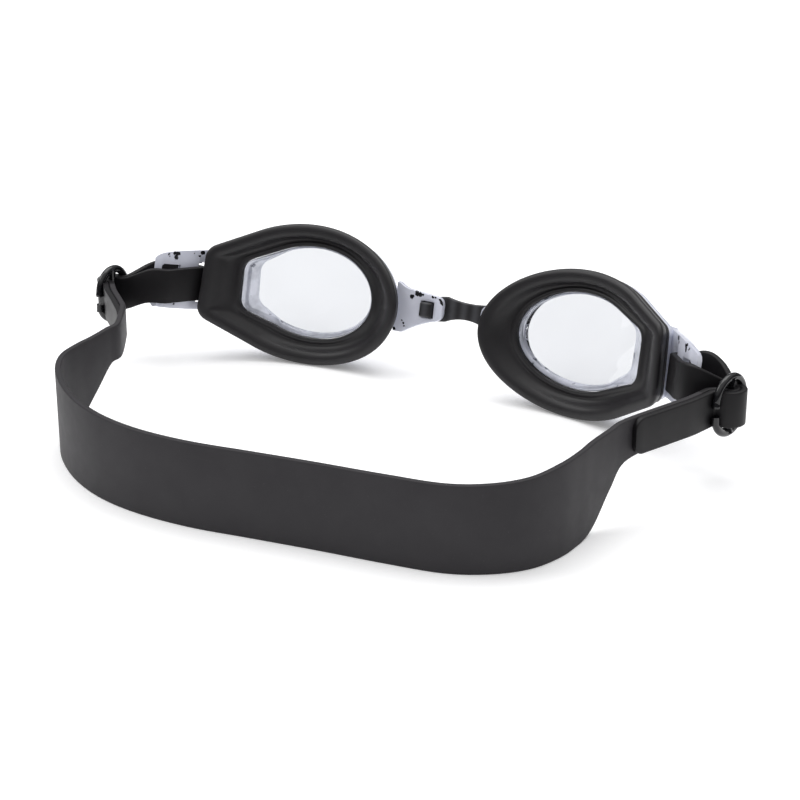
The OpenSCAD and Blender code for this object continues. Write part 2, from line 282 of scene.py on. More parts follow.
def curve(controls, steps):
    """Smooth curve through tuples, from the second to the last but one."""
    result = []
    for j in range(1, len(controls) - 2):
        a, b, d, e = controls[j - 1:j + 3]
        for i in range(steps):
            t = i / steps
            result.append(tuple(
                0.5 * (2 * q + (r - p) * t + (2 * p - 5 * q + 4 * r - s) * t * t
                       + (3 * q - p - 3 * r + s) * t ** 3)
                for p, q, r, s in zip(a, b, d, e)))
    return result


def finish_piece(obj, material, nodes, sharp=40):
    tidy_mesh(obj, sharp)
    obj.data.materials.clear()
    obj.data.materials.append(material)
    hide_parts(*nodes)
    return obj


# ---------- materials ----------


class Shader:
    """A node material and short ways to add nodes to it."""

    def __init__(self, name):
        self.material = bpy.data.materials.new(name)
        self.material.use_nodes = True
        self.tree = self.material.node_tree
        self.surface = self.tree.nodes["Principled BSDF"]
        self.place = self.tree.nodes.new("ShaderNodeTexCoord").outputs["Object"]

    def node(self, kind, settings=(), **inputs):
        made = self.tree.nodes.new(kind)
        for key, value in dict(settings).items():
            setattr(made, key, value)
        for key, value in inputs.items():
            self.put(made.inputs[key.replace("_", " ")], value)
        return made

    def put(self, socket, value):
        if isinstance(value, bpy.types.NodeSocket):
            self.tree.links.new(value, socket)
        else:
            socket.default_value = value

    def set(self, **inputs):
        for key, value in inputs.items():
            self.put(self.surface.inputs[key.replace("_", " ")], value)

    def noise(self, per_mm, detail=3.0, roughness=0.55, at=None, distortion=0.0):
        made = self.node("ShaderNodeTexNoise", Vector=at or self.place, Scale=per_mm / MM,
                         Detail=detail, Roughness=roughness, Distortion=distortion)
        return made.outputs["Fac"]

    def ramp(self, value, *stops):
        made = self.node("ShaderNodeValToRGB", Fac=value)
        elements = made.color_ramp.elements
        while len(elements) < len(stops):
            elements.new(0.5)
        for element, (position, colour) in zip(elements, stops):
            element.position = position
            element.color = (*colour, 1) if len(colour) == 3 else colour
        return made.outputs["Color"]

    def spread(self, value, low, high):
        made = self.node("ShaderNodeMapRange", Value=value, To_Min=low, To_Max=high)
        return made.outputs["Result"]

    def maths(self, operation, *values):
        made = self.node("ShaderNodeMath", {"operation": operation})
        for socket, value in zip(made.inputs, values):
            self.put(socket, value)
        return made.outputs[0]

    def mix(self, share, one, other):
        made = self.node("ShaderNodeMix", {"data_type": "RGBA"}, Factor=share)
        for index, value in ((6, one), (7, other)):
            self.put(made.inputs[index], value)
        return made.outputs[2]

    def bump(self, height, strength, distance):
        made = self.node("ShaderNodeBump", Height=height, Strength=strength, Distance=distance * MM)
        self.put(self.surface.inputs["Normal"], made.outputs["Normal"])


def silicone(name, dark, light, rough_low, rough_high, specular):
    """Matte moulded rubber: faint clouding, a fine moulded grain and specks of dust."""
    shader = Shader(name)
    cloud = shader.noise(0.09, 4)
    speck = shader.ramp(shader.noise(1.9, 1), (0.72, (0, 0, 0)), (0.78, (1, 1, 1)))
    base = shader.ramp(cloud, (0.3, dark), (0.7, light))
    dust = tuple(c * 1.5 + 0.004 for c in light)
    shader.set(Base_Color=shader.mix(shader.maths("MULTIPLY", speck, 0.35), base, (*dust, 1)))
    shader.set(Roughness=shader.spread(shader.noise(0.35, 3), rough_low, rough_high))
    shader.set(IOR=1.41, Specular_IOR_Level=specular)
    grain = shader.maths("ADD", shader.noise(6, 2), shader.maths("MULTIPLY", cloud, 0.5))
    shader.bump(grain, 0.12, 0.05)
    return shader.material


def gloss_plastic():
    """Black moulded plastic with a slightly wavy gloss and fine rubbing marks."""
    shader = Shader("gloss_plastic")
    rub = shader.ramp(shader.noise(1.4, 5, 0.7), (0.5, (0, 0, 0)), (0.75, (1, 1, 1)))
    shader.set(Base_Color=shader.mix(rub, (0.004, 0.004, 0.005, 1), (0.014, 0.014, 0.016, 1)))
    shader.set(Roughness=shader.spread(rub, 0.06, 0.16), IOR=1.5)
    shader.bump(shader.noise(0.5, 2), 0.15, 0.12)
    return shader.material


def clear_plastic():
    """Clear polycarbonate with the faintest cool tint and mould waviness."""
    shader = Shader("clear_plastic")
    tint = shader.ramp(shader.noise(0.05, 2), (0.3, (0.63, 0.64, 0.66)), (0.7, (0.66, 0.67, 0.69)))
    shader.set(Base_Color=tint, Transmission_Weight=1.0, IOR=1.45)
    shader.set(Roughness=shader.spread(shader.noise(0.6, 3), 0.0, 0.04))
    shader.bump(shader.noise(0.16, 1), 0.08, 0.1)
    return shader.material


def wall_plastic():
    """The lens's side wall, where the print behind it shows through as a mottled pale lavender."""
    shader = Shader("lens_wall")
    cloud = shader.noise(0.22, 3, 0.6)
    mottle = shader.ramp(cloud, (0.34, (0.42, 0.44, 0.5)), (0.6, (0.66, 0.68, 0.78)))
    fleck = shader.ramp(shader.noise(0.5, 2), (0.66, (0, 0, 0)), (0.7, (1, 1, 1)))
    shader.set(Base_Color=shader.mix(fleck, mottle, (0.14, 0.15, 0.19, 1)))
    shader.set(Transmission_Weight=0.35, IOR=1.45)
    shader.set(Roughness=shader.spread(shader.noise(0.6, 3), 0.08, 0.16))
    shader.bump(shader.noise(0.16, 1), 0.1, 0.12)
    return shader.material


# Stray marks lie where the noise is above STRAY_AT, and are commoner forwards of PRINT_FRONT, which
# is along Y in metres
STRAY_AT = (0.735, 0.745)
PRINT_FRONT = (0.048, 0.051)
FRONT_MORE = 0.07


def printed_plastic(name, marks):
    """Pale lavender plastic with irregular black marks: set ones, (point, radius), and strays."""
    shader = Shader(name)
    wobble = shader.node("ShaderNodeTexNoise", Vector=shader.place, Scale=0.9 / MM, Detail=2.0)
    centred = shader.node("ShaderNodeVectorMath", {"operation": "SUBTRACT"})
    shader.put(centred.inputs[0], wobble.outputs["Color"])
    centred.inputs[1].default_value = (0.5, 0.5, 0.5)
    scaled = shader.node("ShaderNodeVectorMath", {"operation": "SCALE"}, Scale=0.9 * MM)
    shader.put(scaled.inputs[0], centred.outputs[0])
    moved = shader.node("ShaderNodeVectorMath", {"operation": "ADD"})
    shader.put(moved.inputs[0], shader.place)
    shader.put(moved.inputs[1], scaled.outputs[0])
    print_mask = None
    for point, radius in marks:
        near = shader.node("ShaderNodeVectorMath", {"operation": "DISTANCE"})
        shader.put(near.inputs[0], moved.outputs[0])
        near.inputs[1].default_value = point
        dot = shader.node("ShaderNodeMapRange", Value=near.outputs["Value"], From_Min=radius * 1.04 * MM,
                          From_Max=radius * 0.96 * MM, To_Min=0.0, To_Max=1.0).outputs["Result"]
        print_mask = dot if print_mask is None else shader.maths("MAXIMUM", print_mask, dot)
    depth = shader.node("ShaderNodeSeparateXYZ", Vector=shader.place).outputs["Y"]
    front = shader.node("ShaderNodeMapRange", Value=depth, From_Min=PRINT_FRONT[0],
                        From_Max=PRINT_FRONT[1], To_Min=0.0, To_Max=FRONT_MORE).outputs["Result"]
    stray = shader.maths("ADD", shader.noise(0.28, 2, 0.6, at=moved.outputs[0]), front)
    stray_mask = shader.ramp(stray, (STRAY_AT[0], (0, 0, 0)), (STRAY_AT[1], (1, 1, 1)))
    mask = shader.maths("MAXIMUM", print_mask, stray_mask)
    pale = shader.ramp(shader.noise(0.12, 3), (0.3, (0.64, 0.66, 0.76)), (0.7, (0.72, 0.735, 0.83)))
    shader.set(Base_Color=shader.mix(mask, pale, (0.008, 0.008, 0.01, 1)))
    shader.set(Roughness=shader.spread(shader.noise(0.8, 3), 0.16, 0.28), IOR=1.5)
    shader.set(Coat_Weight=0.25, Coat_Roughness=0.08)
    shader.bump(shader.noise(0.7, 2), 0.06, 0.05)
    return shader.material


def highlight_banded_silicone():
    """Satin bridge rubber, with painted highlights as soft lighter bands along it."""
    shader = Shader("highlight_banded_silicone")
    place = shader.node("ShaderNodeSeparateXYZ", Vector=shader.place).outputs["X"]
    # Painted highlights: the base colour is lighter in soft bands along X, standing in for light on the
    # bridge's curves.
    highlight_wave = shader.maths("SINE", shader.maths("MULTIPLY", place, 2 * math.pi / (3.1 * MM)))
    soft = shader.maths("MULTIPLY", shader.maths("ADD", highlight_wave, 1.0), 0.5)
    base = shader.mix(soft, (0.014, 0.0135, 0.015, 1), (0.05, 0.05, 0.055, 1))
    shader.set(Base_Color=base, IOR=1.41)
    shader.set(Roughness=shader.spread(shader.noise(0.5, 3), 0.38, 0.5))
    shader.bump(shader.noise(5, 2), 0.1, 0.05)
    return shader.material


SEAL = silicone("seal_rubber", (0.0085, 0.0076, 0.009), (0.012, 0.0109, 0.0126), 0.4, 0.5, 0.6)
STRAP = silicone("strap_rubber", (0.026, 0.0242, 0.0272), (0.032, 0.03, 0.0332), 0.5, 0.62, 0.34)
# Painted shade: a darker copy of the strap rubber, used on the free ends and on the loops round the
# buckles and outriggers.
STRAP_PAINTED_SHADE = silicone("strap_painted_shade_rubber", (0.006, 0.0054, 0.0064), (0.009, 0.0082, 0.0094),
                     0.42, 0.54, 0.34)
BUCKLE = gloss_plastic()
CLEAR = clear_plastic()
WALL = wall_plastic()
BRIDGE = highlight_banded_silicone()

# ---------- gaskets ----------


def gasket_rings():
    """The section of the seal: flange, groove, outer wall, crest, dished face, lip and inner wall."""
    rings = [rear_ring(outline(RIM, inset), h) for inset, h in (
        (1.15, 5.2), (0.95, 5.05), (0.9, 4.6), (0.86, 4.0), (1.02, 3.85), (0.8, 3.68),
        (0.62, 3.3), (0.4, 2.7), (0.15, 2.0), (0.0, 1.35), (0.03, 0.95), (0.2, 0.55),
        (0.55, 0.22), (1.05, 0.06), (1.65, 0.0), (2.25, 0.12), (2.9, 0.38))]
    crest, lip = outline(RIM, 2.9), outline(EYE, -0.9)
    for share, h in ((0.14, 0.9), (0.3, 1.5), (0.48, 2.1), (0.66, 2.4), (0.82, 2.4), (0.93, 2.2),
                     (1.0, 2.0)):
        rings.append(rear_ring(between(crest, lip, share), h))
    rings += [rear_ring(outline(EYE, inset), h) for inset, h in (
        (-0.5, 1.9), (-0.2, 1.88), (0.0, 1.98), (0.1, 2.25), (0.1, 2.7), (0.04, 3.4), (0.0, 4.2),
        (-0.1, 5.2))]
    return rings


def make_gasket(name, side):
    rings = [[row(on_cup(*p), side) for p in ring] for ring in gasket_rings()]
    gasket = raw_object(name + "_seal", *skin(rings, hoop=True))
    finish_piece(gasket, SEAL, [name + "_gasket"], 50)
    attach(gasket, name + "_eyecup")


# ---------- lenses ----------

# Numbers of the lens's rings between which its inner wall lies
WALL_RINGS = (18, 25)


def make_lens(name, side):
    eye, window = outline(EYE, 0.1), outline(WINDOW, 0)
    inner_h = 4.35
    rings = [front_ring(shrink(outline(EYE, 0.2), k), 0) for k in (0.12, 0.3, 0.5, 0.7, 0.86, 0.96)]
    rings += [front_ring(outline(EYE, inset), h) for inset, h in (
        (0.2, 0), (-0.35, -0.08), (-0.8, -0.32), (-1.0, -0.75))]
    rings += [rear_ring(outline(EYE, inset), h) for inset, h in (
        (-1.35, SEAT + 1.6), (-1.5, SEAT + 1.35), (-2.2, SEAT + 1.3), (-2.4, SEAT + 1.1),
        (-2.4, SEAT + 0.1), (-2.2, SEAT), (0.12, SEAT), (0.16, 3.2), (0.3, 2.9), (0.5, 2.85))]
    rings += [rear_ring(between(eye, window, share), h) for share, h in (
        (0.2, 2.95), (0.32, 3.1), (0.85, 3.95), (0.94, 4.2), (1.0, inner_h))]
    rings += [rear_ring(shrink(window, k), inner_h) for k in (0.97, 0.86, 0.7, 0.5, 0.3, 0.12)]
    placed = [[row(on_cup(*p), side) for p in ring] for ring in rings]
    lens = raw_object(name + "_clear_cup", *skin(placed))
    finish_piece(lens, CLEAR, [name + "_lens"], 35)
    lens.data.materials.append(WALL)
    ring_size = len(eye)
    for polygon in lens.data.polygons:
        ring = min(polygon.vertices) // ring_size
        if len(polygon.vertices) == 4 and WALL_RINGS[0] <= ring < WALL_RINGS[1]:
            polygon.material_index = 1
    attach(lens, name + "_eyecup")


# ---------- printed frames ----------

WING_TIP = 37.8
WING_LINE = [(23, 3.2), (24.5, 1.7), (32, -5.75), (35, -8.4), (36.2, -9), (WING_TIP, -9.4)]
WING_TURN = math.radians(45)
WRAP_AT = (29.6, -3.35)
SLOT = (-3.6, -0.6)
SLOT_V = (-5.8, 4.1)
SCALLOPS = (-3.0, -1.9)
SCALLOP_R = 0.5
SLOT2 = (4.2, 8.9)
SLOT2_V = (-5.2, 3.4)
SLOT2_CUT = 0.5
WING_CORNER_R = 1.6
BOSS_AT = (36.9, -6.6)
BOSS_R = 0.9
BOSS_H = (-10.35, -9)
ARM_T = 1.6
NOSE_PLANE = 5.4
NOSE_Z = 18.6
ARMS = {"left": dict(tip=1.6, peg=5.8), "right": dict(tip=8.8, peg=10.9)}
PEG_W = 3.2
PEG_H = 3.6
ARM_ROUND = 1.8
ARM_ROOT = 14.9


def housing_rings():
    front = -1.0
    rings = [rear_ring(outline(RIM, inset), h) for inset, h in (
        (1.9, SEAT), (1.6, SEAT + 0.1), (1.5, SEAT + 0.3), (1.5, SEAT + 2.1), (1.6, SEAT + 2.4),
        (1.9, SEAT + 2.57), (2.4, SEAT + 2.6))]
    flange, barrel = outline(RIM, 2.4), outline(EYE, -3.6)
    rings += [rear_ring(between(flange, barrel, share), SEAT + 2.6) for share in (0.5, 1.0)]
    rings += [front_ring(outline(EYE, inset), h) for inset, h in (
        (-3.3, front - 0.9), (-3.25, front - 0.35), (-3.0, front - 0.05), (-2.6, front),
        (-2.2, front), (-1.85, front - 0.1), (-1.7, front - 0.4))]
    rings += [rear_ring(outline(EYE, inset), h) for inset, h in (
        (-1.7, SEAT + 1.5), (-2.7, SEAT + 1.5), (-2.7, SEAT))]
    return rings


def wing_point(along, forward, v):
    """A point measured along the outrigger from the strap's bend, and forwards of its middle line."""
    c, t = math.cos(WING_TURN), math.sin(WING_TURN)
    return on_cup(WRAP_AT[0] + along * c + forward * t, WRAP_AT[1] - along * t + forward * c, v)


def beside(path, d):
    """A line of points moved by d to its right."""
    moved = []
    for i, point in enumerate(path):
        along = path[min(i + 1, len(path) - 1)] - path[max(i - 1, 0)]
        moved.append(point + Vector((along.y, -along.x)).normalized() * d)
    return moved


def outrigger(side):
    """(points, faces) of the slotted strip that sweeps back from the housing and holds the strap."""
    line = [Vector(p) for p in curve([WING_LINE[0], *WING_LINE, WING_LINE[-1]], 5)]
    line.append(Vector(WING_LINE[-1]))

    def upright(u, h, v):
        return row(on_cup(u, h, v), side)

    def across(u, v, h):
        return row(on_cup(u, h, v), side)

    def through(along, v, forward):
        return row(wing_point(along, forward, v), side)

    strip = beside(line, ARM_T / 2) + beside(line, -ARM_T / 2)[::-1]
    blank = prism(strip, upright, -12, 12)
    tip = WING_TIP + 0.1
    low_corner = arc((tip - WING_CORNER_R, -5.9), WING_CORNER_R, (0, -30, -60, -90))
    back = [(21, 8.7), (24, 7.8), (28, 7.45), (32, 6.95), (34, 6.6), (35.4, 6.2), (36.4, 5.75),
            (37.2, 5.15), (37.7, 4.5), (tip, 3.7), *low_corner,
            (33, -7.6), (30, -7.6), (26, -7.4), (21, -8)]
    keep = prism(back, across, -14, 8)
    scallops = []
    for middle in SCALLOPS:
        scallops += arc((middle, SLOT_V[1]), SCALLOP_R, range(180, -1, -30))
    slot = [(SLOT[0], SLOT_V[1]), *scallops, (SLOT[1], SLOT_V[1]),
            (SLOT[1], SLOT_V[0]), (SLOT[0], SLOT_V[0])]
    empty = [(SLOT2[0], SLOT2_V[1]), (SLOT2[1] - SLOT2_CUT, SLOT2_V[1]),
             (SLOT2[1], SLOT2_V[1] - SLOT2_CUT), (SLOT2[1], SLOT2_V[0]), (SLOT2[0], SLOT2_V[0])]
    cutters = [prism(slot, through, -4, 4), prism(empty, through, -4, 4)]
    strap_holder = carved("outrigger", blank, cutters, keep=[keep], round_off=0.3, angle=35)
    return merged([strap_holder, prism(arc(BOSS_AT, BOSS_R, range(0, 360, 20)), across, *BOSS_H)])


# Upper and lower edge of a nose arm at d from its tip. The upper one stops rising before the root,
# where the CAD's still rises.
def arm_top(d):
    return min(3.4 + 0.1 * d + 0.12 * max(d - 9.5, 0) ** 2, 5.7)


def arm_low(d):
    return -min(2.3 + 0.15 * d + 0.025 * d ** 2, 6.6)


def tip_inset(d):
    return ARM_ROUND - math.sqrt(ARM_ROUND ** 2 - (ARM_ROUND - d) ** 2) if d < ARM_ROUND else 0


def nose_arm(tip, peg, side):
    steps = [0.2 * i for i in range(10)]
    while steps[-1] + tip + 0.8 < ARM_ROOT:
        steps.append(steps[-1] + 0.8)
    edge = [(tip + d, NOSE_Z + arm_top(d) - tip_inset(d)) for d in steps]
    edge += [(tip + d, NOSE_Z + arm_low(d) + tip_inset(d)) for d in reversed(steps)]

    def place(x, z, y):
        return row(leaned(x, y, z), side)

    hole_w, hole_h = PEG_W / 2 + 0.2, PEG_H / 2 + 0.2
    hole = [(peg - hole_w, NOSE_Z - hole_h), (peg + hole_w, NOSE_Z - hole_h),
            (peg + hole_w, NOSE_Z + hole_h), (peg - hole_w, NOSE_Z + hole_h)]
    blank = prism(edge, place, NOSE_PLANE - ARM_T / 2, NOSE_PLANE + ARM_T / 2)
    return carved("nose_arm", blank, [prism(hole, place, 0, 12)], round_off=0.25)


def arm_mark(x, z, side):
    return row(leaned(x, NOSE_PLANE - ARM_T / 2, NOSE_Z + z), side)


# Set marks of the print, (along, v, radius) on the outrigger and (from the arm's tip, up, radius)
WING_MARKS = ((5.6, 5.3, 0.6), (5.2, 6.2, 0.55), (6.0, 6.3, 0.45), (7.6, 5.9, 0.4), (7.2, 5.4, 0.25),
              (-1.4, 6.8, 0.55), (-0.6, 6.0, 0.35), (5.0, -6.5, 0.3))
ARM_MARKS = ((8.6, 2.5, 0.62), (7.2, 3.5, 0.6), (6.4, 3.45, 0.55), (5.6, 3.55, 0.35),
             (2.9, 3.3, 0.35), (2.2, 3.4, 0.3), (10.2, -4.3, 0.3), (10.6, -3.6, 0.22),
             (9.9, -5.0, 0.25), (12.4, -6.0, 0.4))


def frame_marks(name, side):
    """Where the set marks of the print lie, on the rear of the outrigger and of the nose arm."""
    tip = ARMS[name]["tip"]
    marks = [(row(wing_point(along, -ARM_T / 2, v), side), r) for along, v, r in WING_MARKS]
    marks += [(arm_mark(tip + d, z, side), r) for d, z, r in ARM_MARKS]
    return marks


def make_frame(name, side):
    housing = skin([[row(on_cup(*p), side) for p in ring] for ring in housing_rings()], hoop=True)
    parts = [housing, outrigger(side), nose_arm(ARMS[name]["tip"], ARMS[name]["peg"], side)]
    body = joined(name + "_printed_frame", parts)
    material = printed_plastic(name + "_print", frame_marks(name, side))
    finish_piece(body, material, [name + "_frame"], 38)
    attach(body, name + "_eyecup")


# ---------- nose bridge ----------


def bridge_half(x):
    return min(2.05 + 0.03 * (x - 4.2) ** 2, 3.1)


def bridge_rise(x):
    return max(0.9 - 0.011 * (x - 3.4) ** 2, 0)


def rounded_section(half_w, half_h, r, steps=4):
    """Corners of a rectangle with round corners, as (across, up)."""
    points = []
    for sign_w, sign_h, start in ((1, 1, 0), (-1, 1, 90), (-1, -1, 180), (1, -1, 270)):
        for i in range(steps + 1):
            t = math.radians(start + 90 * i / steps)
            across = sign_w * (half_w - r) + r * math.cos(t)
            points.append((across, sign_h * (half_h - r) + r * math.sin(t)))
    return points


def make_bridge():
    face = NOSE_PLANE + ARM_T / 2 + 0.15
    thick = 1.6
    first, last, count = -8.6, 13.0, 44
    rings = []
    for i in range(count + 1):
        x = first + (last - first) * i / count
        end = min((x - first) / 0.8, (last - x) / 0.8, 1)
        inset = 0.8 * (1 - math.sqrt(max(1 - (1 - end) ** 2, 0)))
        half_h = bridge_half(x) - inset
        middle_y, middle_z = face + thick / 2, NOSE_Z + bridge_rise(x)
        section = rounded_section(thick / 2, half_h, 0.35)
        rings.append([row(leaned(x, middle_y + a, middle_z + b)) for a, b in section])
    parts = [skin(rings)]
    for middle in (-ARMS["left"]["peg"], ARMS["right"]["peg"]):
        section = rounded_section(PEG_W / 2, PEG_H / 2, 0.3)
        peg = []
        for y, k in ((face + 0.3, 1), (face - ARM_T - 0.2, 1), (face - ARM_T - 1.05, 0.97),
                     (face - ARM_T - 1.25, 0.88), (face - ARM_T - 1.3, 0.74)):
            peg.append([row(leaned(middle + a * k, y, NOSE_Z + b * k)) for a, b in section])
        parts.append(skin(peg))
    bridge = joined("nose_strip", parts)
    finish_piece(bridge, BRIDGE, ["nose_bridge"], 45)
    end = row(leaned(ARMS["right"]["tip"] - 0.6, face, NOSE_Z))
    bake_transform(bridge)


# ---------- strap ----------

FLOOR_Z = -0.46
BAND_H = 19.2
STRAP_H = 8.2
STRAP_T = 1.4
STRAP_Z = 16.4
RAIL_S = 4.9
BAR_R = 0.75
BARS = {"left": (81.1, -16.9), "right": (80.1, -12.5)}
HEADINGS = {"left": 93, "right": 76}
ARRIVE = {"left": 38, "right": 80}
LAYER_STEP = STRAP_T + 0.1
NEAR_R = BAR_R + 0.12 + STRAP_T / 2
WEAVE_R = NEAR_R + LAYER_STEP / 2
WEAVE_TURN = math.degrees(math.asin(2 * WEAVE_R / RAIL_S))
STRAIGHT_RUN = 3
TIP_R = 2.5
STRAP_V = -0.9
DIPS = {"left": -2.4, "right": -1.5}
APPROACH = {
    "right": [(68, -41.4), (69.4, -37), (71.5, -31.8), (73.4, -27), (75.1, -22.6)],
    "left": [(60.2, -39.8), (64.6, -35.2), (67.6, -32.2), (71.8, -28.2), (76.1, -24.2)]}
LOOP = {
    "right": [(72.6, -5.2, 20.2, STRAP_H, 0.8), (75.8, -6, 18.8, STRAP_H, 0.4)],
    "left": [(72.8, -5.4, 19.4, STRAP_H, 0.8), (76.4, -7.4, 18.2, STRAP_H, 0.4)]}
LOOP_RISE = {"left": -0.3, "right": 0.7}
# The band ends here, and the runs to the buckles start
RUN_Y = -60
TURN_STEPS = 12
CURVE_STEPS = 8
TIP_STEPS = 8
WING_STEPS = 4
WRAP_STEPS = 16
# The last stations of the approach, which belong to the loop
LOOP_FROM = 3
# How far apart the strap's stations are along the outrigger
WING_STEP = 2.6


def ahead(degrees, length=1.0):
    return Vector((math.cos(math.radians(degrees)), math.sin(math.radians(degrees)))) * length


def right_of(degrees, length=1.0):
    return ahead(degrees - 90, length)


def flat_station(point):
    return point.x, point.y, STRAP_Z, STRAP_H, 0


def cup_station(u, h, v):
    return *on_cup(u, h, v), STRAP_H, 1


def wing_station(along, forward, v):
    return *wing_point(along, forward, v), STRAP_H, 1


class StrapEnd:
    """Stations of one end of the strap, each (x, y, middle height, height, lean), for the right side.
    band_part and tail are behind the buckle's rear rail; loop goes from there through the buckle,
    round the outrigger and back to the rear rail."""

    def __init__(self, name):
        bar, heading, arrive = Vector(BARS[name]), HEADINGS[name], ARRIVE[name]
        rail = bar - ahead(heading, RAIL_S)
        cross = heading - WEAVE_TURN
        turn = [rail - right_of(arrive + (cross - arrive) * i / TURN_STEPS, WEAVE_R)
                for i in range(TURN_STEPS + 1)]
        controls = [tuple(p) for p in APPROACH[name]] + [tuple(turn[0]), tuple(turn[1])]
        approach = [Vector(p) for p in curve(controls, CURVE_STEPS)]
        start = cup_station(38, -11.6, DIPS[name])
        reach = Vector(start[:2]) - bar
        outer_leave = heading + WEAVE_TURN
        straight = math.degrees(math.atan2(reach.y, reach.x) + math.asin(NEAR_R / reach.length))
        inner_leave = max(straight, outer_leave)

        def line(leave):
            return approach + turn + [bar + right_of(cross + (leave - cross) * i / TURN_STEPS, WEAVE_R)
                                      for i in range(TURN_STEPS + 1)]

        inner = beside(line(inner_leave), -LAYER_STEP / 2)
        outer = beside(line(outer_leave), LAYER_STEP / 2)
        cut = len(approach) - LOOP_FROM
        wrap_r = ARM_T / 2 + 0.35 + STRAP_T / 2
        fall = (DIPS[name] - STRAP_V) / 4
        self.band_part = [flat_station(p) for p in inner[CURVE_STEPS:cut + 1]]
        free = (outer[0] - outer[1]).normalized()
        tip = []
        for i in range(TIP_STEPS, 0, -1):
            t = math.radians(90 * i / TIP_STEPS)
            end = outer[0] + free * TIP_R * math.sin(t)
            tip.append((end.x, end.y, STRAP_Z, STRAP_H - 2 * TIP_R * (1 - math.cos(t)), 0))
        self.tail = tip + [flat_station(p) for p in outer[:cut + 1]]
        self.loop = [flat_station(p) for p in inner[cut:-1]]
        past_buckle = flat_station(inner[-1] + ahead(inner_leave, STRAIGHT_RUN))
        on_wing = [wing_station(WING_STEP * i, -wrap_r, STRAP_V + i * fall) for i in (3, 2, 1, 0, -1)]
        self.loop += curve([flat_station(inner[-2]), flat_station(inner[-1]), past_buckle, start,
                            on_wing[0]], CURVE_STEPS)
        self.loop += curve([past_buckle, start, *on_wing], WING_STEPS)
        self.loop += [wing_station(-wrap_r * math.sin(t), -wrap_r * math.cos(t), STRAP_V)
                      for t in (math.pi * i / WRAP_STEPS for i in range(WRAP_STEPS + 1))]
        self.loop += curve([wing_station(-1, wrap_r, STRAP_V), wing_station(1.4, wrap_r, STRAP_V),
                            cup_station(34.2, -3.7, LOOP_RISE[name]),
                            *LOOP[name], flat_station(outer[-1] + ahead(outer_leave, STRAIGHT_RUN)),
                            flat_station(outer[-1]), flat_station(outer[-2])], CURVE_STEPS)
        self.loop += [flat_station(p) for p in reversed(outer[cut:])]


def mirrored(station):
    return (-station[0], *station[1:])


def strap_rings(path):
    """Rounded section of the strap at each station, which stays on the floor or above it."""
    rings = []
    for i, (x, y, middle, height, lean) in enumerate(path):
        before, after = path[max(i - 1, 0)], path[min(i + 1, len(path) - 1)]
        along = Vector((after[0] - before[0], after[1] - before[1])).normalized()
        low, top = max(middle - height / 2, FLOOR_Z), middle + height / 2
        half_h = (top - low) / 2
        ring = []
        for a, b in rounded_section(STRAP_T / 2, half_h, min(0.32, half_h * 0.8), 3):
            slope = lean * math.tan(LEAN) * b
            ring.append(row((x + along.y * a, y - along.x * a + slope, low + half_h + b)))
        rings.append(ring)
    return rings


def band(x, y, rise):
    height = BAND_H + rise
    return x, y, FLOOR_Z + height / 2, height, 0


def band_stations(left, right):
    controls = [mirrored(left.band_part[1]), mirrored(left.band_part[0]),
                (-60.6, -42.5, 16.2, 8.6, 0), (-60.3, -47, 15.9, 9, 0), (-60.3, -52.5, 13.5, 13.2, 0),
                (-60.4, -58.5, 11, 18, 0)]
    controls += [band(*p) for p in (
        (-59.4, -65, 1.2), (-55.6, -71.6, 1), (-49.6, -77.8, 0.7), (-41.6, -83.6, 0.4), (-32, -88, 0.2),
        (-21, -90.3, 0), (-8, -90.6, 0), (6, -88.9, 0), (20, -87.2, 0), (36, -85.6, 0), (48, -83.8, 0),
        (56.2, -79.8, 0.2), (62, -74, 0.6), (65, -66.5, 1.2), (65.8, -59, 1.2))]
    controls += [(66, -53, 10.6, 19, 0), (66.6, -46.5, 13.5, 13.4, 0), (67.5, -41.2, 15.9, 9.4, 0),
                 right.band_part[0], right.band_part[1]]
    return curve(controls, CURVE_STEPS)


def strap_piece(name, lengths, materials):
    """A piece of the strap, from lengths of it with a material for each."""
    parts = [skin(rings) for rings in lengths]
    piece = joined(name, parts)
    finish_piece(piece, materials[0], ["head_strap"], 50)
    start = 0
    for index, (_, faces) in enumerate(parts):
        if index:
            piece.data.materials.append(materials[index])
        for polygon in piece.data.polygons[start:start + len(faces)]:
            polygon.material_index = index
        start += len(faces)
    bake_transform(piece)


def make_strap():
    """The band, and on each side a run up to the buckle's rear rail, with the free end, and a loop."""
    ends = {name: StrapEnd(name) for name in SIDES}
    path = [mirrored(s) for s in reversed(ends["left"].band_part[1:])]
    path += band_stations(ends["left"], ends["right"]) + ends["right"].band_part
    wide = [i for i, station in enumerate(path) if station[1] < RUN_Y]
    first, last = wide[0], wide[-1]
    rings = strap_rings(path)
    strap_piece("head_strap_band", [rings[first:last + 1]], [STRAP])
    runs = {"left": rings[:first + 1], "right": rings[last:]}
    for name, side in SIDES.items():
        end, heading, near = ends[name], HEADINGS[name], Vector((*BARS[name], STRAP_Z))
        tail, loop = (strap_rings([mirrored(s) for s in stations] if side < 0 else stations)
                      for stations in (end.tail, end.loop))
        rear = near - Vector((*ahead(heading, RAIL_S), 0))
        front = near + Vector((*ahead(heading, RAIL_S), 0))
        # The free ends and the loops take the darker rubber, which is painted shade.
        strap_piece(name + "_strap_run", [runs[name], tail], [STRAP, STRAP_PAINTED_SHADE])
        strap_piece(name + "_strap_loop", [loop], [STRAP_PAINTED_SHADE])


# ---------- buckles ----------

BUCKLE_H = 14.6
RING_R = 0.95
RING_OUT = 0.1
GAP_Z = (-2.7, 0.4)
RING_TURN_STEPS = 20
SIDE_STEPS = 6
BAR_STEPS = 16


